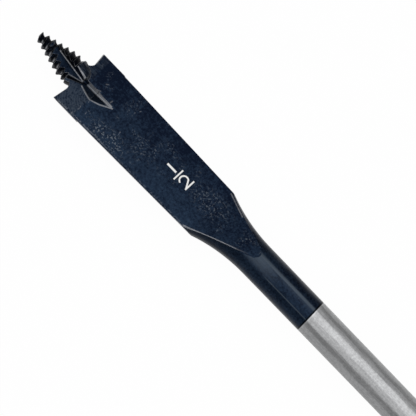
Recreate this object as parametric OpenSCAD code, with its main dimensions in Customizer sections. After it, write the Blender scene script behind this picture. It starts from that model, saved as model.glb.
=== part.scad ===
// Spade drill bit with a self-feeding screw point, forged in one piece and lying on its shank.
// The bit is drawn along its own axis: spur line at z = 0, screw point up, front face towards -Y.

/* [Blade] */
// Cutting diameter across the two spurs
blade_d = 12.7; // [11:0.1:18]
// Thickness of the flat blade
blade_t = 3; // [2.4:0.1:3.6]
// Spur line to the foot of the ramps that rise to the shank
blade_len = 32.5; // [28:0.5:36]
// Length of the parallel margin behind the spurs
margin_len = 5.7; // [3:0.1:9]
// Step inwards where the margin ends
margin_step = 0.1; // [0.05:0.01:0.2]
// Taper of each side behind the margin, in degrees
side_taper = 1; // [0.4:0.1:1.4]
// Relief of each side behind its leading edge, in degrees
side_relief = 15; // [6:1:18]

/* [Lips] */
// Slope of each cutting lip up to its spur, in degrees
lip_slope = 8; // [4:0.5:12]
// Relief of each lip behind its cutting edge, in degrees
lip_relief = 7.5; // [6:0.5:14]
// Radius in the corner between a lip and the boss
lip_fillet = 1.4; // [0.8:0.1:1.8]
// Rake of the ground face below each lip, in degrees
rake_angle = 6; // [3:0.5:8]
// Spur line to the end of the ground rake face
rake_len = 4.6; // [3:0.1:7]
// Slant of the wall where the rake grinding stops at the boss, in degrees from the axis
rake_slant = 24; // [15:1:30]
// Slope of that wall, in degrees from the rake face
rake_wall = 60; // [50:1:70]

/* [Screw point] */
// Length of the screw point beyond the spur line
screw_len = 9.6; // [8.6:0.1:11.4]
// Half angle of the cone that the thread crests lie on, in degrees
screw_angle = 14.5; // [12:0.5:16]
// Radius of the crest at the blunt tip
screw_tip_r = 0.93; // [0.85:0.01:1.1]
// Pitch of the right-hand thread
thread_pitch = 1.24; // [1.1:0.02:1.4]
// Number of full turns of thread
thread_turns = 7; // [5:1:7]
// Depth of the thread
thread_depth = 0.62; // [0.4:0.02:0.65]
// Diameter of the round boss that carries the screw
boss_d = 5.4; // [4.8:0.1:6.4]
// Radius by which the ball end of the boss is smaller
boss_drop = 0.2; // [0.1:0.05:0.3]
// Height of the boss above the spur line
boss_rise = 1.2; // [0.8:0.1:2]

/* [Flutes and scoops] */
// Distance of the flute floor from the axis at the spur line
flute_floor = 1.38; // [1.2:0.02:1.6]
// Tilt of the flute floor towards the axis at the tip, in degrees
flute_tilt = 1; // [0:0.5:4]
// Rise of the flute floor towards its open side, in degrees
flute_rise = 13; // [8:1:20]
// Slant of the flute wall across the axis, in degrees
flute_slant = 8; // [6:0.2:12]
// Offset of the flute corner from the axis at the spur line
flute_offset = 0.32; // [0.1:0.01:0.6]
// Angle between the flute floor and its wall, less than upright
flute_wall = 72; // [65:1:80]
// Radius in the flute corner
flute_fillet = 0.22; // [0.1:0.02:0.3]
// Spur line to the point where the scoop runs out
scoop_len = 8.4; // [7:0.1:12]
// Spur line to the start of the scoop under the boss
scoop_start = 1.5; // [1:0.1:2]
// Depth of the scoop below the blade face
scoop_depth = 0.62; // [0.4:0.02:0.9]
// Distance of the scoop's deepest line from the axis
scoop_offset = 0.2; // [0:0.02:0.5]
// Slope of the wide side of the scoop, in degrees
scoop_floor = 18; // [14:1:26]
// Slope of the steep side of the scoop, in degrees
scoop_wall = 58; // [45:1:70]
// Radius at the bottom of the scoop
scoop_fillet = 0.2; // [0.1:0.02:0.4]

/* [Shank] */
// Overall length from the screw tip to the shank end
bit_len = 152.4; // [130:0.2:180]
// Diameter of the round shank where it leaves the blade
shank_d = 6.5; // [5.8:0.1:6.6]
// Amount by which the radius of the shank falls towards the hexagon
shank_taper = 0.15; // [0.1:0.05:0.3]
// Spur line to the start of the round shank
shank_start = 44.3; // [40:0.1:50]
// Radius of the concave shoulders that narrow the blade to the shank
shoulder_r = 30.3; // [26:0.1:36]
// Height of the step where a ramp ends on the shank
ramp_step = 0.03; // [0.02:0.01:0.08]
// Width across the flats of the hexagon
hex_af = 6.35; // [5.6:0.05:6.8]
// Length of the hexagon
hex_len = 30; // [20:1:40]
// Length of the bevels at both ends of the hexagon
hex_chamfer = 0.6; // [0.4:0.05:1]
// Slope of those bevels from the axis, in degrees
hex_chamfer_angle = 35; // [25:1:50]

/* [Hidden] */
$fn = 64;
blade_w = blade_d / 2;
face_y = blade_t / 2;
boss_r = boss_d / 2;
shank_r = shank_d / 2;
shank_end = bit_len - screw_len;
hex_start = shank_end - hex_len;
rest_height = max(shank_r, hex_af / 2);
// Stock that cutters pass through, so that they clear the blade
spare = 4;
// Depth to which adjoining forms sink into each other
overlap = 2;
// The neck of the blade stays inside the boss by this share
neck_share = 0.97;
neck_w = neck_share * sqrt(boss_r * boss_r - face_y * face_y);
// Thread form over one pitch, its crest leaning to the tip: [share of the pitch, share of the depth]
thread_form = [[0, 0], [0.3, 0.34], [0.58, 0.9], [0.66, 1], [0.72, 0.9], [0.96, 0]];
thread_points = len(thread_form);
thread_columns = 28;
// The screw is drawn past the spur line by this much more, then cut off square
screw_trim = 0.4 * thread_pitch;
screw_apex = screw_len + screw_trim;
thread_start = screw_apex - thread_pitch * (thread_turns + thread_form[thread_points - 1][0]);
thread_base = min(thread_start - thread_pitch / 2, boss_rise / 2);
// Distance by which the widest crests stay inside the boss
thread_seat = 0.03;
// Turns over which the thread falls away at the tip, and the share of its depth that is left there
thread_lead = 0.1;
thread_end = 0.3;
steel = "#1c2838";
bare_steel = "#b4b6b8";

// Section of a ground groove, opening upwards: a side at each angle and a round bottom
module groove_section(left, right, fillet, reach) {
    span = sin(left + right);
    centre = fillet * [cos(right) - cos(left), sin(left) + sin(right)] / span;
    left_foot = centre - fillet * [sin(left), cos(left)];
    right_foot = centre - fillet * [-sin(right), cos(right)];
    left_end = reach * [-cos(left), sin(left)];
    right_end = reach * [cos(right), sin(right)];
    polygon([left_foot, centre, right_foot, right_end, [right_end.x, reach], [left_end.x, reach], left_end]);
    translate(centre)
        circle(r = fillet);
}

// A groove that runs up the front face from the origin, open towards the front
module front_groove(left, right, fillet, reach, length) {
    mirror([0, 1, 0])
        linear_extrude(height = length)
            groove_section(left, right, fillet, reach);
}

// The same cut on the front and, half a turn round, on the back
module both_faces() {
    children();
    rotate([0, 0, 180])
        children();
}

// Side view of the forged stock: flat blade, then ramps up to the shank
module stock() {
    ramp_y = shank_r - ramp_step;
    rotate([90, 0, 90])
        linear_extrude(height = blade_d, center = true)
            polygon([
                [-face_y, boss_rise / 2], [-face_y, -blade_len], [-ramp_y, -shank_start],
                [ramp_y, -shank_start], [face_y, -blade_len], [face_y, boss_rise / 2]
            ]);
}

// Wheel with a half-round rim that forms the left shoulder and blends it into the shank
module shoulder_wheel() {
    wheel_r = shoulder_r + shank_r;
    rim = shank_r + spare;
    translate([-wheel_r, 0, -shank_start])
        rotate([90, 0, 0])
            rotate_extrude(angle = 60, $fn = 180)
                difference() {
                    translate([shoulder_r - spare, -rim])
                        square([shank_r + spare, 2 * rim]);
                    translate([wheel_r, 0])
                        circle(r = shank_r);
                }
}

// Block whose right face is the relieved left side, turned about the leading edge at the origin
module side_cutter(length) {
    rotate([0, 0, -side_relief])
        translate([-spare, -spare, 0])
            cube([spare, blade_t + 2 * spare, length]);
}

// Cuts on the left side: parallel margin, then the tapered side behind it
module left_side() {
    translate([-blade_w, -face_y, -margin_len - overlap])
        side_cutter(margin_len + overlap + spare);
    translate([margin_step - blade_w, -face_y, -margin_len])
        rotate([0, 180 - side_taper, 0])
            mirror([1, 0, 0])
                side_cutter(shank_start);
}

// Cut above the left lip: slopes down from the spur, falls away behind the edge, round at the neck
module left_lip() {
    top = boss_rise + spare;
    inner = blade_w - neck_w;
    translate([-blade_w, -face_y, 0])
        rotate([-lip_relief, 0, 0])
            rotate([90, 0, 0])
                linear_extrude(height = 2 * (blade_t + spare), center = true)
                    rotate(-lip_slope) {
                        translate([-spare, 0])
                            square([inner + spare - lip_fillet, top]);
                        translate([-spare, lip_fillet])
                            square([inner + spare, top]);
                        translate([inner - lip_fillet, lip_fillet])
                            circle(r = lip_fillet);
                    }
}

// Flat blade with its shoulders, relieved sides and lips
module blade() {
    difference() {
        stock();
        both_faces()
            shoulder_wheel();
        both_faces()
            left_side();
        both_faces()
            left_lip();
    }
}

// Round boss that carries the screw, with a ball end that sinks into the blade
module boss() {
    shelf_r = boss_r - thread_depth;
    ball_r = boss_r - boss_drop;
    rotate_extrude() {
        intersection() {
            circle(r = ball_r);
            translate([0, -ball_r])
                square([ball_r, ball_r]);
        }
        polygon([
            [0, 0], [ball_r, 0], [boss_r, boss_rise / 2], [boss_r, boss_rise - thread_depth / 2],
            [shelf_r, boss_rise], [0, boss_rise]
        ]);
    }
}

function crest_r(z) = min(boss_r - thread_seat, screw_tip_r + (screw_len - z) * tan(screw_angle));
function thread_lift(turn) = min(1, thread_end + (thread_turns - turn) / thread_lead);
function screw_point(turn, form) =
    let (
        z = thread_start + thread_pitch * (turn + form[0]),
        r = crest_r(z) - thread_depth * (1 - form[1] * thread_lift(turn)),
        angle = 360 * turn
    )
    [r * cos(angle), r * sin(angle), z];

// Screw cone with its thread: columns round the axis, each one step further up the helix
module screw() {
    rows = thread_points * thread_turns;
    last = thread_columns - 1;
    base = thread_columns * rows;
    base_r = boss_r - thread_depth;
    foot = base + thread_columns;
    tip = foot + 1;
    wall = [
        for (column = [0:last], row = [0:rows - 1])
            screw_point(floor(row / thread_points) + column / thread_columns, thread_form[row % thread_points])
    ];
    base_ring = [
        for (column = [0:last])
            [base_r * cos(360 * column / thread_columns), base_r * sin(360 * column / thread_columns), thread_base]
    ];
    columns = [
        for (column = [0:last - 1], row = [0:rows - 2])
            let (a = column * rows + row, b = a + rows)
            each [[a, a + 1, b + 1], [a, b + 1, b]]
    ];
    seam = [
        for (row = [0:rows - 2 - thread_points])
            let (a = last * rows + row, b = row + thread_points)
            each [[a, a + 1, b + 1], [a, b + 1, b]]
    ];
    base_wall = [
        for (column = [0:last - 1])
            let (a = base + column, b = column * rows)
            each [[a, b, b + rows], [a, b + rows, a + 1]]
    ];
    base_seam = [
        [base + last, last * rows, base],
        [base, last * rows, 0],
        for (row = [0:thread_points - 1])
            [row, last * rows, row + 1]
    ];
    tip_wall = [
        for (column = [0:last - 1])
            [column * rows + rows - 1, tip, column * rows + 2 * rows - 1]
    ];
    tip_seam = [
        for (row = [rows - 1 - thread_points:rows - 2])
            [last * rows + row, last * rows + row + 1, rows - 1],
        [last * rows + rows - 1, tip, rows - 1]
    ];
    floor_fan = [
        for (column = [0:last])
            [base + column, base + (column + 1) % thread_columns, foot]
    ];
    polyhedron(
        points = concat(wall, base_ring, [[0, 0, thread_base], [0, 0, screw_apex]]),
        faces = concat(columns, seam, base_wall, base_seam, tip_wall, tip_seam, floor_fan),
        convexity = 10
    );
}

// Flute through the screw and boss: a flat floor on the left and a steep wall on the right
module flute() {
    reach = 2 * boss_r;
    translate([-flute_offset, -flute_floor, 0])
        rotate([-flute_tilt, flute_slant, 0])
            translate([0, 0, -reach])
                front_groove(flute_rise, flute_wall, flute_fillet, reach, reach + screw_len);
}

// Scoop in the blade below the boss: level at first, then rising until it runs out
module scoop() {
    bend = rake_len;
    rise = atan(scoop_depth / (scoop_len - bend));
    reach = blade_w;
    translate([-scoop_offset, scoop_depth - face_y, -bend]) {
        front_groove(scoop_floor, scoop_wall, scoop_fillet, reach, bend - scoop_start);
        mirror([0, 0, 1])
            rotate([rise, 0, 0])
                front_groove(scoop_floor, scoop_wall, scoop_fillet, reach, scoop_len);
    }
}

// Ground rake face below the left lip, ending at a slanted wall beside the boss
module rake_face() {
    wall_x = (rake_len + boss_rise) * tan(rake_slant);
    size = 2 * blade_d;
    translate([0, -face_y, -rake_len])
        rotate([-rake_angle, 0, 0])
            intersection() {
                translate([-size / 2, -size, 0])
                    cube([size, size, rake_len + boss_rise]);
                translate([wall_x - neck_w, 0, 0])
                    rotate([0, -rake_slant, 0])
                        rotate([0, 0, 90 - rake_wall])
                            translate([-size, -size, -size / 2])
                                cube([size, 2 * size, size]);
            }
}

// Round shank, with coned ends inside the blade and the hexagon, and the hexagon itself
module shank() {
    rear_r = shank_r - shank_taper;
    cone_r = rear_r - overlap;
    rear = -hex_start - hex_chamfer;
    // turned so that its seam runs along the line that it lies on
    rotate([0, 0, 90])
        rotate_extrude()
            polygon([
                [0, rear - overlap], [cone_r, rear - overlap], [rear_r, rear],
                [shank_r, -shank_start], [cone_r, overlap - shank_start], [0, overlap - shank_start]
            ]);
    intersection() {
        hex_pair(0);
        hex_pair(60);
        hex_pair(120);
    }
}

// One pair of flats of the hexagon, with the bevels at their ends
module hex_pair(turn) {
    flat_y = hex_af / 2;
    bevel_y = flat_y - hex_chamfer * tan(hex_chamfer_angle);
    rotate([0, 0, turn])
        rotate([90, 0, 90])
            linear_extrude(height = 2 * hex_af, center = true)
                polygon([
                    [-bevel_y, -shank_end], [bevel_y, -shank_end], [flat_y, hex_chamfer - shank_end],
                    [flat_y, -hex_start - hex_chamfer], [bevel_y, -hex_start], [-bevel_y, -hex_start],
                    [-flat_y, -hex_start - hex_chamfer], [-flat_y, hex_chamfer - shank_end]
                ]);
}

// The whole bit, laid down with its front face up and its axis along X
module spade_bit() {
    translate([screw_len - bit_len / 2, 0, rest_height])
        rotate([-90, 0, 90]) {
            color(steel)
                difference() {
                    union() {
                        blade();
                        boss();
                        screw();
                    }
                    translate([0, 0, screw_len])
                        cylinder(h = spare, r = boss_r);
                    both_faces()
                        flute();
                    both_faces()
                        scoop();
                    both_faces()
                        rake_face();
                }
            color(bare_steel)
                shank();
        }
}

spade_bit();
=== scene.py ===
import bpy, bmesh, math
from mathutils import Matrix, Vector
from types import SimpleNamespace


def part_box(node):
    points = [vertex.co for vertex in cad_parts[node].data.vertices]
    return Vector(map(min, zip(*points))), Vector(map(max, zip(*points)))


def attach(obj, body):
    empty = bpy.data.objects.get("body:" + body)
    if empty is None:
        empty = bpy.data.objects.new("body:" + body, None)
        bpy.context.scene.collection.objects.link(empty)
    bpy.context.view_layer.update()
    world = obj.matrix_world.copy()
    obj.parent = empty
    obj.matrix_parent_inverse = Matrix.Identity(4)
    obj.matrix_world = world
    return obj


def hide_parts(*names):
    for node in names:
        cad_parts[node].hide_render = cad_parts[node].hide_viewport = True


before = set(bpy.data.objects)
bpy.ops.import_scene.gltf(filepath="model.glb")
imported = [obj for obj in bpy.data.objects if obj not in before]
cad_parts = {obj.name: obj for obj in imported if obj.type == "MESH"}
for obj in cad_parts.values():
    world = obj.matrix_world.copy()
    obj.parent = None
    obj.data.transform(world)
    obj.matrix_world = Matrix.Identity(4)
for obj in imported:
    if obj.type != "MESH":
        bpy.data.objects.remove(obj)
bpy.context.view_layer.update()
low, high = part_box("spade_bit")
mm = 0.001
print("frame loaded, length", round((high.x - low.x) / mm, 1), "mm")

# where the bit lies: its axis runs along X, tip at the low end, front face up
bit = {
    "screwLength": 9.6 * mm,  # tip to spur line
    "bladeWidth": 12.7 * mm,
    "bladeThickness": 3.0 * mm,
    "sideTaper": 1,  # degrees, the blade narrows behind its spurs
    "coatLength": 57.64 * mm,  # spur line to the end of the dark coat
    "creaseAngle": 28,  # degrees, sharper edges stay hard
    "weld": 0.001 * mm,
}
axisZ = (low.z + high.z) / 2
spurX = low.x + bit["screwLength"]
coatX = spurX + bit["coatLength"]


class Wire:
    # one shader socket; expressions on it add Math nodes
    def __init__(self, tree, socket=None):
        self.tree = tree
        self.socket = socket

    def node(self, kind, settings=None, values=None, out=0):
        made = self.tree.nodes.new(kind)
        for name, value in (settings or {}).items():
            setattr(made, name, value)
        for name, value in (values or {}).items():
            if isinstance(value, Wire):
                self.tree.links.new(value.socket, made.inputs[name])
            else:
                made.inputs[name].default_value = value
        return Wire(self.tree, made.outputs[out] if made.outputs else None)

    def other(self, out):  # another output of the same node
        return Wire(self.tree, self.socket.node.outputs[out])

    def maths(self, operation, *terms):
        return self.node("ShaderNodeMath", {"operation": operation}, dict(enumerate(terms)))

    def __add__(self, other):
        return self.maths("ADD", self, other)

    def __radd__(self, other):
        return self.maths("ADD", other, self)

    def __sub__(self, other):
        return self.maths("SUBTRACT", self, other)

    def __rsub__(self, other):
        return self.maths("SUBTRACT", other, self)

    def __mul__(self, other):
        return self.maths("MULTIPLY", self, other)

    def __rmul__(self, other):
        return self.maths("MULTIPLY", other, self)

    def __truediv__(self, other):
        return self.maths("DIVIDE", self, other)

    def __rtruediv__(self, other):
        return self.maths("DIVIDE", other, self)

    def __pow__(self, other):
        return self.maths("POWER", self, other)

    def __abs__(self):
        return self.maths("ABSOLUTE", self)

    def least(self, other):
        return self.maths("MINIMUM", self, other)

    def most(self, other):
        return self.maths("MAXIMUM", self, other)

    def rise(self, start, end):  # 0 before start, 1 after end, smooth between
        values = {"Value": self, "From Min": start, "From Max": end}
        return self.node("ShaderNodeMapRange", {"interpolation_type": "SMOOTHSTEP"}, values)

    def fall(self, start, end):
        return 1 - self.rise(start, end)

    def blend(self, first, second):  # colours, self is the share of the second
        values = {"Factor": self, "A": first, "B": second}
        return self.node("ShaderNodeMix", {"data_type": "RGBA"}, values, out="Result")

    def noise(self, place, scale, detail, rough):
        values = {"Vector": place, "Scale": scale, "Detail": detail, "Roughness": rough}
        return self.node("ShaderNodeTexNoise", None, values, out="Fac")

    def stretch(self, place, factors):
        return self.node("ShaderNodeVectorMath", {"operation": "MULTIPLY"}, {0: place, 1: factors})


def newMaterial(name):
    made = bpy.data.materials.new(name)
    made.use_nodes = True
    made.node_tree.nodes.clear()
    return made, Wire(made.node_tree)


def rgb(red, green, blue):
    return (red, green, blue, 1.0)


# the size mark, in millimetres from its own middle line and from the spur line
sizeMark = {
    "one": ((0.1, 21.8), (0.1, 23.92)),
    "oneWidth": 0.35,
    "bar": ((-1.05, 24.49), (1.25, 24.49)),
    "barWidth": 0.25,
    "bowlCentre": (0.1, 25.84),
    "bowlRadius": 0.79,
    "bowlStart": 158,  # degrees, anticlockwise from the right
    "bowlEnd": -38,
    "foot": ((-0.88, 27.17), (1.28, 27.17)),
    "stemFoot": (-0.72, 27.17),
    "twoWidth": 0.26,
    "soft": 0.05,
    "faraway": 5,  # any distance well past a stroke
}


def strokeDistance(across, along, start, end):
    run = (end[0] - start[0], end[1] - start[1])
    span = run[0] ** 2 + run[1] ** 2
    share = ((across - start[0]) * run[0] + (along - start[1]) * run[1]) / span
    share = share.most(0).least(1)
    aside = across - start[0] - share * run[0]
    ahead = along - start[1] - share * run[1]
    return (aside * aside + ahead * ahead) ** 0.5


def pathDistance(across, along, points):  # strokes from point to point
    nearest = strokeDistance(across, along, *points[:2])
    for start, end in zip(points[1:], points[2:]):
        nearest = nearest.least(strokeDistance(across, along, start, end))
    return nearest


def barDistance(across, along, start, end, width):  # to one stroke with square ends
    run = (end[0] - start[0], end[1] - start[1])
    span = math.hypot(*run)
    share = ((across - start[0]) * run[0] + (along - start[1]) * run[1]) / span ** 2
    off = abs((across - start[0]) * run[1] - (along - start[1]) * run[0]) / span
    return off.most((abs(share - 0.5) - 0.5) * span + width / 2)


def sizeMarkMask(across, along):
    soft = sizeMark["soft"]

    def inked(distance, width):
        return distance.fall(width / 2 - soft, width / 2 + soft)

    cx, cy = sizeMark["bowlCentre"]
    radius = sizeMark["bowlRadius"]
    ends = []
    for angle in (sizeMark["bowlStart"], sizeMark["bowlEnd"]):
        turn = math.radians(angle)
        ends.append((cx + radius * math.cos(turn), cy - radius * math.sin(turn)))
    chord = (ends[1][0] - ends[0][0], ends[1][1] - ends[0][1])
    side = (across - ends[0][0]) * chord[1] - (along - ends[0][1]) * chord[0]
    ring = abs(((across - cx) ** 2 + (along - cy) ** 2) ** 0.5 - radius)
    bowl = ring + side.fall(-0.001, 0.001) * sizeMark["faraway"]  # only above the chord
    cap = ((across - ends[0][0]) ** 2 + (along - ends[0][1]) ** 2) ** 0.5
    stem = strokeDistance(across, along, ends[1], sizeMark["stemFoot"])
    foot = barDistance(across, along, *sizeMark["foot"], sizeMark["twoWidth"])
    two = bowl.least(cap).least(stem).least(foot)
    one = barDistance(across, along, *sizeMark["one"], sizeMark["oneWidth"])
    bar = barDistance(across, along, *sizeMark["bar"], sizeMark["barWidth"])
    mask = inked(one, sizeMark["oneWidth"]).most(inked(bar, sizeMark["barWidth"]))
    return mask.most(inked(two, sizeMark["twoWidth"]))


# dark oxide coat, bare ground steel and the places where the coat is thin;
# places are across and along, in millimetres from the axis and from the spur line
steelFinish = {
    "coatDark": rgb(0.0019, 0.0042, 0.0115),
    "coatPale": rgb(0.0134, 0.0252, 0.0465),
    # light specks and grit, and also the painted highlight on the shank
    "speckAndSheenColour": rgb(0.042, 0.054, 0.07),
    "gritColour": rgb(0.066, 0.079, 0.096),
    "rakeColour": rgb(0.026, 0.035, 0.05),
    # worn steel, and also the painted highlights and reflections
    "wornAndGlintColour": rgb(0.3, 0.31, 0.33),
    # near black: the thread, the coat's end, and the painted shade and shadow
    "darkAndShadeColour": rgb(0.0008, 0.0011, 0.002),
    "bareColour": rgb(0.24, 0.243, 0.247),
    "bareLight": rgb(0.37, 0.374, 0.38),
    "markColour": rgb(0.88, 0.88, 0.86),
    "coatRough": 0.3,
    "bareRough": 0.22,
    "roughness": {"cloud": 0.12, "grain": 0.1, "thread": 0.25, "streaks": 0.1, "mark": 0.3},
    "coatMetal": 0.85,
    "wornMetal": 0.8,  # share of it that wear and the painted light take away
    "gloss": 0.1,
    "bump": {"Strength": 0.12, "Distance": 0.02 * mm},
    "bumpShares": {"grain": 0.5, "fleck": 0.4},
    "edgeRadius": 0.13 * mm,
    "edgeSamples": 8,
    "coatTilt": 0.045,  # the coat's end is a little out of square
    "brinkSoot": 0.9,
    "brinkLight": 0.6,
    "noise": {  # scale, detail, roughness
        "cloud": (260, 4.0, 0.55),
        "grain": (2400, 3.0, 0.65),
        "fleck": (2700, 2.0, 0.6),
        "patch": (330, 2.0, 0.55),
        "streaks": (3600, 3.0, 0.55),
    },
    "drawn": (0.05, 1.0, 1.0),  # stretches the streaks along the bit
    # how pale the coat is, and what each part of the bit adds or takes
    "paleness": 0.46,
    "mottle": 2.2,
    "darkRight": 0.36,
    "darkByScoop": 0.2,
    "darkRamp": 0.1,
    "paleLeft": 0.08,
    "paleShank": 0.09,
    "sheenAt": 0.3,  # across the shank, the middle of its painted highlight streak
    "sheenFoot": 0.3,
    "paintedLineAt": -1.86,  # and of a fine painted highlight line
    # strength of the painted glow on the shank just past the V
    "paintedGlow": 0.75,
    "drifts": {
        "near": {"centre": (-4.5, 11.5), "spread": (3.4, 18), "end": 1.3, "share": 1.0},
        "far": {"centre": (0.6, 32), "spread": (5, 20), "end": 1.4, "share": 0.6},
    },
    "driftCore": 0.4,
    "patchShare": 0.6,
    "grindCentre": (-1, 5.5),
    "grindLines": 15,  # radians a millimetre
    "grindWaver": 0.6,
    "grit": 0.7,
    "bossStreaks": 0.5,
    "threadStart": -0.226,  # a root of the thread, along, on the right side
    "threadPitch": 1.24,
    "threadTip": (1.12, -8.88),  # the thread's outer edge at the tip
    "threadFlare": 0.27,  # and how it widens from there
    "notch": (4.72, 0.3),  # along, and its slant: a nick across the scoop's wall
    # painted lines: full strength inside the core, none past the fade
    "lines": {
        "fluteCorner": {"points": ((0.38, -5.0), (-0.5, 1.3)), "core": 0.14, "fade": 0.26},
        "bossEdge": {"points": ((0.25, -1.1), (-0.1, 2.0)), "core": 0.12, "fade": 0.26},
        "bossRim": {
            "points": ((1.85, -0.3), (1.78, 0.5), (1.3, 1.28), (0.6, 1.64), (0.15, 1.68)),
            "core": 0.05,
            "fade": 0.14,
        },
        "fluteEnd": {
            "points": ((-1.56, -0.97), (-1.29, -0.24), (-1.05, 0.51), (-0.74, 1.36), (-0.38, 1.5)),
            "core": 0.05,
            "fade": 0.15,
        },
        "fluteShade": {
            "points": ((-1.85, -0.75), (-1.55, -0.1), (-1.3, 0.62), (-0.98, 1.46), (-0.35, 2.15)),
            "core": 0.12,
            "fade": 0.28,
        },
        "scoopLip": {
            "points": ((-1.22, 1.9), (-1.68, 3.3), (-2.0, 4.6), (-1.4, 6.35), (-0.2, 8.4)),
            "core": 0.06,
            "fade": 0.18,
            "ragged": 0.15,
        },
        "scoopWall": {"points": ((-0.24, 2.6), (-0.16, 8.0)), "core": 0.16, "fade": 0.3},
        "ramp": {"points": ((4.5, 33.1), (2.9, 37.3)), "core": 0.06, "fade": 0.16},
        "vEdge": {"points": ((-5.55, 31.3), (-3.2, 37.3), (-1.2, 42.6)), "core": 0.04, "fade": 0.14},
    },
    "nicks": [  # start, end
        ((0.38, 4.55), (0.46, 4.85)),
        ((0.28, 7.41), (0.8, 7.48)),
        ((2.1, 4.6), (2.35, 4.95)),
        ((-2.2, 4.75), (-2.5, 4.85)),
        ((-3.98, 4.4), (-4.08, 4.5)),
        ((-4.4, 4.5), (-4.6, 4.55)),
        ((-5.75, 4.2), (-6.1, 4.3)),
        ((-3.95, 5.85), (-4.3, 5.95)),
        ((-2.1, 12.3), (-2.6, 12.4)),
        ((3.0, 12.0), (3.2, 12.1)),
    ],
    "nickRagged": 0.4,
    # how strong the darkening and painted shade, and the wear and painted light, are
    "darkAndShade": {"thread": 1.0, "scoopFloorShade": 0.55, "rakeWallShade": 0.8, "flareShade": 0.4, "shade": 0.8},
    "wearAndGlint": {
        "corner": 0.7,
        "boss": 0.85,
        "lip": 0.55,
        "fluteEnd": 0.4,
        "bossRim": 0.2,
        "scoopEnd": 0.55,
        "vEdge": 0.6,
        "nick": 0.22,
        "rim": 0.42,
        "paintedRootGlint": 0.9,
        "ramp": 0.3,
    },
    "edgeWear": {"anywhere": 0.05, "cutEnd": 0.3},
    # painted reflection on the scoop's steep wall, and the nick across it
    "wallReflection": {"face": 0.85, "line": 0.5, "notch": 0.5},
}


def surfaceOf(start, look):  # what the masks below are made of
    at = SimpleNamespace()
    place = start.node("ShaderNodeTexCoord", out="Object")
    x = start.node("ShaderNodeSeparateXYZ", None, {0: place})
    at.y = x.other("Y")
    at.up = x.other("Z") - axisZ
    at.along = (x - spurX) / mm
    at.side = at.y / mm
    at.front = at.up.rise(-0.1 * mm, 0.1 * mm)
    facing = at.front * 2 - 1
    at.across = at.y * facing / mm  # to the right of whichever face it is on
    at.depth = (bit["bladeThickness"] / 2 - abs(at.up)) / mm  # below the face of the blade

    geometry = start.node("ShaderNodeNewGeometry", out="Normal")
    rounding = {"Radius": look["edgeRadius"]}
    at.bevelled = start.node("ShaderNodeBevel", {"samples": look["edgeSamples"]}, rounding)
    values = {0: geometry, 1: at.bevelled}
    cosine = start.node("ShaderNodeVectorMath", {"operation": "DOT_PRODUCT"}, values, out="Value")
    at.edge = (1 - cosine).rise(0.004, 0.03)
    normal = start.node("ShaderNodeSeparateXYZ", None, {0: geometry})
    at.normalY = normal.other("Y") * facing
    at.normalZ = normal.other("Z") * facing
    at.flat = at.normalZ.rise(0.9, 0.97)
    at.ramp = normal.other("X").fall(-0.11, -0.06) * at.normalZ.rise(0.9, 0.95)
    at.shank = at.along.rise(33, 36) * (1 - at.ramp)
    at.screw = at.along.fall(-1.5, -1.1)
    width, tip = look["threadTip"]
    outline = width + (at.along - tip) * look["threadFlare"]
    at.threadInset = outline - abs(at.across)  # from the thread's left or right edge

    coat = (x - coatX + at.y * look["coatTilt"]) / mm
    at.bare = coat.rise(-0.03, 0.03)
    at.coatBrink = coat.rise(-0.4, -0.2) * coat.fall(-0.05, -0.01)
    at.bareBrink = coat.rise(0.0, 0.04) * coat.fall(0.14, 0.3)

    for name, setting in look["noise"].items():
        where = start.stretch(place, look["drawn"]) if name == "streaks" else place
        setattr(at, name, start.noise(where, *setting))
    return at


def painted(at, line):
    distance = pathDistance(at.across, at.along, line["points"])
    if "ragged" in line:
        distance = distance + (at.grain - 0.5) * line["ragged"]
    return distance.fall(line["core"], line["fade"])


def strongest(masks, strengths):
    combined = None
    for name, mask in masks.items():
        weighted = mask * strengths[name]
        combined = combined.most(weighted) if combined else weighted
    return combined


def coatBase(at, look):  # darker to the right, and mottled all over
    tone = look["paleness"] + (at.grain - 0.5) * look["mottle"] + (at.cloud - 0.5)
    tone = tone - at.across.rise(-4, 6) * look["darkRight"]
    tone = tone - at.across.rise(-0.2, 0.8) * at.along.fall(6, 11) * look["darkByScoop"]
    tone = tone + at.across.fall(-4, -3) * look["paleLeft"]
    tone = tone - at.ramp * look["darkRamp"] + at.along.rise(42, 46) * look["paleShank"]
    return tone.most(0).least(1).blend(look["coatDark"], look["coatPale"])


def shankPaintedSheen(at, look):  # painted highlight: a sheen along the top of the round shank, a fine bright line and a painted glow just past the V
    paintedSheen = abs(at.side - look["sheenAt"]).fall(0.06, 0.4)
    paintedSheen = paintedSheen + at.side.rise(-1.4, 0.2) ** 2 * look["sheenFoot"]
    paintedSheen = paintedSheen.least(1) * at.side.fall(0.5, 0.9)
    paintedLine = abs(at.side - look["paintedLineAt"]).fall(0.04, 0.12) * at.along.rise(46, 49)
    paintedGlow = at.along.rise(41.8, 42.4) * (at.along.fall(44.6, 51) * 0.96 + 0.04)
    paintedGlow = paintedGlow * at.side.rise(-2.2, -1) * at.side.fall(0.3, 0.8)
    sheen = (paintedSheen + paintedLine).most(paintedGlow * look["paintedGlow"]) * at.shank * at.front
    return sheen * (0.75 + at.streaks.rise(0.3, 0.7) * 0.25)


def speckMask(at, look):  # light specks in loose drifts
    drift = at.patch.rise(0.5, 0.72) * look["patchShare"]
    for spot in look["drifts"].values():
        offAcross = (at.across - spot["centre"][0]) ** 2 / spot["spread"][0]
        offAlong = (at.along - spot["centre"][1]) ** 2 / spot["spread"][1]
        inside = ((offAcross + offAlong) ** 0.5).fall(look["driftCore"], spot["end"])
        drift = drift.most(inside * spot["share"])
    return at.fleck.rise(0.545, 0.625) * drift * (1 - at.shank)


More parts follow.
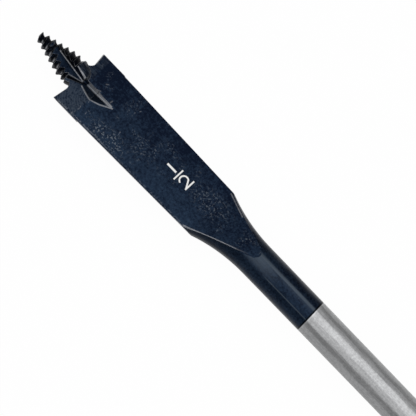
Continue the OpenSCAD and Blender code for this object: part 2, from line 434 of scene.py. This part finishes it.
def grindRake(at, look, colour):  # ground face, ending in a broken line of bright grit
    rake = at.along.fall(4.3, 4.7) * at.along.rise(-1.5, -1) * at.across.fall(-1.5, -1.1) * at.flat
    centre = look["grindCentre"]
    radius = ((at.across - centre[0]) ** 2 + (at.along - centre[1]) ** 2) ** 0.5
    sweep = (radius + (at.cloud - 0.5) * look["grindWaver"]) * look["grindLines"]
    sweep = sweep.maths("SINE", sweep) * 0.5 + 0.5
    ground = rake * (at.grain.rise(0.38, 0.6) * 0.6 + sweep * 0.4)
    colour = ground.blend(colour, look["rakeColour"])
    grit = rake * at.along.rise(3.9, 4.2) * at.fleck.rise(0.52, 0.66)
    return (grit * look["grit"]).blend(colour, look["speckAndSheenColour"])


def bossStreaks(at, look):
    boss = at.along.rise(-1.2, -1) * at.along.fall(2, 2.3)
    boss = boss * at.across.rise(0.1, 0.3) * at.depth.fall(-0.1, 0.1)
    return boss * at.streaks.rise(0.42, 0.62) * look["bossStreaks"]


def scoopMask(at):
    within = at.along.rise(1.2, 1.7) * at.along.fall(8.4, 8.6) * at.across.fall(0.6, 0.8)
    return at.depth.rise(0.03, 0.1) * within


def threadDarkening(at):
    fluteFloor = at.normalY.rise(0.1, 0.16) * at.normalY.fall(0.3, 0.36)
    fluteFloor = fluteFloor * at.flat * at.across.fall(0.3, 0.6)
    return at.screw * (1 - fluteFloor) * (0.9 - at.fleck.rise(0.5, 0.64) * 0.5)


# painted shadow below the end of the flute
def fluteShade(at, look):
    return painted(at, look["lines"]["fluteShade"]) * at.depth.rise(-0.3, -0.1)


def darkAndShadeMask(at, look, thread, shade):  # darker coat in the thread; painted shade in the scoop, on the flute's wall and on the left of the flare; painted shadow below the flute's end
    rakeWallShade = at.normalY.fall(-0.7, -0.5) * at.across.fall(-0.5, -0.3)
    flareShade = at.along.rise(31, 33) * at.along.fall(36, 44) * at.across.fall(-1.5, -1)
    masks = {
        "thread": thread,
        "scoopFloorShade": scoopMask(at) * at.across.rise(-2.4, -2.2) * at.normalY.rise(0.1, 0.2),
        "rakeWallShade": rakeWallShade * at.along.rise(-2, -1.5) * at.along.fall(1.5, 2),
        "flareShade": flareShade * at.normalZ.fall(0.75, 0.95),
        "shade": shade,
    }
    return strongest(masks, look["darkAndShade"])


def scoopWallReflection(at, look):  # painted reflection: lighter on the steep, left-facing side of the scoop, broken by a nick
    share = look["wallReflection"]
    face = scoopMask(at) * at.normalY.fall(-0.5, -0.3)
    face = face * at.across.rise(-0.6, -0.4) * at.along.rise(2.3, 2.7)
    line = painted(at, look["lines"]["scoopWall"])
    place, slant = look["notch"]
    notch = abs(at.along - place - at.across * slant).fall(0.05, 0.12)
    wall = (face * share["face"]).most(line * share["line"])
    return wall * (0.62 + at.along.rise(3, 6.5) * 0.38) * (1 - notch * share["notch"])


def edgeWear(at, look, shade):  # on sharp edges: the V, the cutting end and the thread's crests
    share = look["edgeWear"]
    shoulder = at.along.rise(29, 31) * at.along.fall(43.0, 44.6) * at.along.fall(37, 45)
    shoulder = shoulder * (0.25 + at.across.fall(-1.5, 0.5) * 0.75)
    cutEnd = at.along.rise(-2, -1.4) * at.along.fall(8, 9) * (1 - shade) * share["cutEnd"]
    crest = at.screw * at.grain.rise(0.35, 0.55) * (0.12 + at.threadInset.fall(0.3, 1.0) * 0.7)
    return at.edge * (shoulder + cutEnd + share["anywhere"] + crest) * at.grain.rise(0.2, 0.45)


def marginWear(at):  # a thin line beside the left edge of the blade
    taper = math.tan(math.radians(bit["sideTaper"]))
    inset = at.across + bit["bladeWidth"] / mm / 2 - 0.1 - at.along * taper
    margin = inset.rise(0.05, 0.15) * inset.fall(0.2, 0.45) * at.flat
    margin = margin * at.along.rise(0, 1) * at.along.fall(30, 32)
    return margin * at.grain.rise(0.42, 0.6) * (0.1 + at.along.fall(8, 13) * 0.14)


def threadRootGlints(at, look):  # painted reflection: bright roots on the left of the thread
    turn = at.up.maths("ARCTAN2", 0 - at.up, at.y) / math.tau
    turns = (look["threadStart"] - at.along) / look["threadPitch"] - turn
    offRoot = abs(turns.maths("FRACT", turns + 0.5) - 0.5) * look["threadPitch"]
    paintedRootGlint = offRoot.fall(0.1, 0.24) * at.along.fall(-1.7, -1.3)
    return paintedRootGlint * at.threadInset.fall(0.75, 1.25) * at.across.fall(-0.5, -0.2)


def nickMask(at, look):
    nearest = strokeDistance(at.across, at.along, *look["nicks"][0])
    for ends in look["nicks"][1:]:
        nearest = nearest.least(strokeDistance(at.across, at.along, *ends))
    return (nearest + (at.grain - 0.5) * look["nickRagged"]).fall(0.03, 0.14) * at.flat


def wearAndGlintMask(at, look, shade):  # where the coat is thin, with painted highlights and reflections on the thread, the flute's corner and the scoop's wall
    lines = look["lines"]
    # painted highlight along the concave corner between the flute's floor and its wall
    corner = painted(at, lines["fluteCorner"]) * at.normalY.fall(-0.25, 0.0)
    vEdge = painted(at, lines["vEdge"]) * at.along.rise(31, 31.6) * at.along.fall(34, 44)
    masks = {
        "corner": corner * at.normalY.rise(-0.95, -0.8),
        "boss": painted(at, lines["bossEdge"]) * at.normalZ.rise(0.5, 0.7) * at.depth.fall(0.1, 0.3),
        "lip": painted(at, lines["scoopLip"]),
        "fluteEnd": painted(at, lines["fluteEnd"]) * at.depth.rise(-0.3, -0.1),
        "bossRim": painted(at, lines["bossRim"]),
        "scoopEnd": scoopMask(at) * at.along.rise(6.9, 7.6) * at.across.rise(-1.9, -1.7),
        "vEdge": vEdge * at.normalZ.rise(0.5, 0.8),
        "nick": nickMask(at, look),
        # painted rim light on the left-facing ends of the thread's lobes
        "rim": at.screw * at.normalY.fall(-0.85, -0.6) * at.threadInset.fall(0.1, 0.55),
        "paintedRootGlint": threadRootGlints(at, look),
        "ramp": painted(at, lines["ramp"]),
    }
    broken = 0.6 + at.grain.rise(0.35, 0.6) * 0.4
    wearAndGlint = strongest(masks, look["wearAndGlint"]) * broken
    wearAndGlint = wearAndGlint.most(marginWear(at)).most(edgeWear(at, look, shade))
    return wearAndGlint.most(scoopWallReflection(at, look))


def bareSteel(at, look):
    speckle = at.grain.rise(0.3, 0.72) * 0.6 + at.streaks.rise(0.35, 0.7) * 0.4
    light = (speckle + at.bareBrink * look["brinkLight"]).least(1)
    return light.blend(look["bareColour"], look["bareLight"])


def steelMaterial():
    look = steelFinish
    made, start = newMaterial("oxide_coated_steel")
    at = surfaceOf(start, look)
    thread = threadDarkening(at)
    shade = fluteShade(at, look)
    wearAndGlint = wearAndGlintMask(at, look, shade)
    mark = sizeMarkMask(at.side, at.along) * at.front * at.flat

    # the coat's layers, from the bottom up
    colour = coatBase(at, look)
    # painted highlight and sheen on the shank's top
    colour = shankPaintedSheen(at, look).blend(colour, look["speckAndSheenColour"])
    colour = speckMask(at, look).blend(colour, look["gritColour"])
    colour = grindRake(at, look, colour)
    colour = bossStreaks(at, look).blend(colour, look["speckAndSheenColour"])
    # painted shade and shadow, and the darker thread
    colour = darkAndShadeMask(at, look, thread, shade).blend(colour, look["darkAndShadeColour"])
    # wear, with painted highlights and reflections
    colour = wearAndGlint.blend(colour, look["wornAndGlintColour"])
    colour = (at.coatBrink * look["brinkSoot"]).blend(colour, look["darkAndShadeColour"])
    colour = at.bare.blend(colour, bareSteel(at, look))
    colour = mark.blend(colour, look["markColour"])

    share = look["roughness"]
    coatRough = look["coatRough"] + (at.cloud - 0.5) * share["cloud"]
    coatRough = coatRough + (at.grain - 0.5) * share["grain"] + thread * share["thread"]
    bareRough = look["bareRough"] + (at.streaks - 0.5) * share["streaks"]
    rough = coatRough + (bareRough - coatRough) * at.bare + mark * share["mark"]
    metal = look["coatMetal"] * (1 - wearAndGlint * look["wornMetal"]) * (1 - mark)
    metal = metal + (1 - metal) * at.bare

    share = look["bumpShares"]
    height = (at.grain - 0.5) * share["grain"] + (at.fleck - 0.5) * share["fleck"]
    height = height + (at.streaks - 0.5) * at.bare
    values = {**look["bump"], "Height": height, "Normal": at.bevelled}
    bump = start.node("ShaderNodeBump", None, values)
    values = {"Base Color": colour, "Roughness": rough, "Metallic": metal, "Normal": bump}
    values["Specular IOR Level"] = look["gloss"]
    shader = start.node("ShaderNodeBsdfPrincipled", None, values)
    start.node("ShaderNodeOutputMaterial", None, {"Surface": shader})
    return made


def makeBit():
    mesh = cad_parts["spade_bit"].data.copy()
    work = bmesh.new()
    work.from_mesh(mesh)
    bmesh.ops.remove_doubles(work, verts=work.verts, dist=bit["weld"])
    crease = math.radians(bit["creaseAngle"])
    for edge in work.edges:
        edge.smooth = edge.calc_face_angle(math.pi) < crease
    for face in work.faces:
        face.smooth = True
    work.to_mesh(mesh)
    work.free()
    piece = bpy.data.objects.new("forged_bit", mesh)
    bpy.context.scene.collection.objects.link(piece)
    even = piece.modifiers.new("even_normals", "WEIGHTED_NORMAL")
    even.keep_sharp = True
    mesh.materials.clear()
    mesh.materials.append(steelMaterial())
    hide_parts("spade_bit")
    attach(piece, "root")
    return piece


forgedBit = makeBit()
print("bit made,", len(forgedBit.data.polygons), "faces")

# pale floor: white to the camera, less so in reflections, with a faint shadow
floor = {
    "size": 6.0,
    "colour": rgb(0.82, 0.82, 0.82),
    "white": 0.975,  # share of plain white that the camera sees
    "whiteInMetal": 0.4,  # and that reflections show
}


def makeFloor():
    half = floor["size"] / 2
    mesh = bpy.data.meshes.new("floor")
    corners = [(x * half, y * half, low.z) for x, y in ((-1, -1), (1, -1), (1, 1), (-1, 1))]
    mesh.from_pydata(corners, [], [(0, 1, 2, 3)])
    made, start = newMaterial("pale_floor")
    path = start.node("ShaderNodeLightPath", out="Is Camera Ray")
    seen = path.most(path.other("Is Transmission Ray")) * floor["white"]
    seen = seen.most(path.other("Is Glossy Ray") * floor["whiteInMetal"])
    matt = start.node("ShaderNodeBsdfDiffuse", None, {"Color": floor["colour"]})
    white = start.node("ShaderNodeEmission", None, {"Color": rgb(1, 1, 1), "Strength": 1.0})
    mixed = start.node("ShaderNodeMixShader", None, {0: seen, 1: matt, 2: white})
    start.node("ShaderNodeOutputMaterial", None, {"Surface": mixed})
    mesh.materials.append(made)
    piece = bpy.data.objects.new("floor", mesh)
    bpy.context.scene.collection.objects.link(piece)


makeFloor()
print("floor made")

# the viewer looks down on the front face, a little from the bit's left
viewer = {
    "roll": 17,  # degrees
    "turn": 46,  # degrees, the bit's slant in the picture
    "distance": 472 * mm,
    "overX": spurX + 57.4 * mm,
    "aimX": spurX + 32.04 * mm,
    "aimAside": 0.23 * mm,
    "picture": 416,  # pixels
    "pixelsPerMetre": 5820,
    "sensor": 36,
    "clip": (0.01, 20),
}
roll = math.radians(viewer["roll"])
towardsViewer = Vector((0, -math.sin(roll), math.cos(roll)))
aside = Vector((0, math.cos(roll), math.sin(roll)))


def makeCamera():
    place = Vector((viewer["overX"], 0, axisZ)) + viewer["distance"] * towardsViewer
    aim = Vector((viewer["aimX"], 0, axisZ)) + viewer["aimAside"] * aside
    back = (place - aim).normalized()
    level = Vector((1, 0, 0))
    level = (level - level.dot(back) * back).normalized()
    over = back.cross(level)
    turn = math.radians(viewer["turn"])
    right = math.cos(turn) * level + math.sin(turn) * over
    up = math.cos(turn) * over - math.sin(turn) * level
    lens = bpy.data.cameras.new("camera")
    lens.sensor_width = viewer["sensor"]
    magnified = viewer["pixelsPerMetre"] * (place - aim).length / viewer["picture"]
    lens.lens = viewer["sensor"] * magnified
    lens.clip_start, lens.clip_end = viewer["clip"]
    camera = bpy.data.objects.new("camera", lens)
    pose = Matrix((right, up, back)).transposed().to_4x4()
    pose.translation = place
    camera.matrix_world = pose
    bpy.context.scene.collection.objects.link(camera)
    bpy.context.scene.camera = camera


makeCamera()
print("camera placed")

# soft boxes over the bit, side by side: each covers these angles about the bit's axis
# and this length along it
studio = {
    "height": 0.7,
    "boxes": {
        "left_box": {"angles": (-35, 4), "reach": (-0.055, 0.25), "radiance": 0.72},
        "right_box": {"angles": (4, 49.5), "reach": (-0.055, 0.25), "radiance": 1.46},
        "side_box": {"angles": (49.5, 78), "reach": (-0.3, 0.3), "radiance": 0.3},
        "tip_box": {"angles": (-39, 51), "reach": (-0.5, -0.055), "radiance": 1.0},
    },
    "sky": {"Color": rgb(1.0, 1.0, 1.0), "Strength": 0.55},
}


def makeLights():
    height = studio["height"]
    for name, box in studio["boxes"].items():
        near, far = box["reach"]
        slopes = [math.radians(angle - viewer["roll"]) for angle in box["angles"]]
        left, right = [height * math.tan(slope) for slope in slopes]
        lamp = bpy.data.lights.new(name, "AREA")
        lamp.shape = "RECTANGLE"
        lamp.size = far - near
        lamp.size_y = right - left
        lamp.energy = box["radiance"] * math.pi * lamp.size * lamp.size_y
        piece = bpy.data.objects.new(name, lamp)
        piece.location = ((near + far) / 2, (left + right) / 2, axisZ + height)
        bpy.context.scene.collection.objects.link(piece)
    world = bpy.data.worlds.new("studio")
    world.use_nodes = True
    world.node_tree.nodes.clear()
    start = Wire(world.node_tree)
    sky = start.node("ShaderNodeBackground", None, studio["sky"])
    start.node("ShaderNodeOutputWorld", None, {"Surface": sky})
    bpy.context.scene.world = world


makeLights()
bpy.context.scene.view_settings.view_transform = "Standard"
print("lights set")
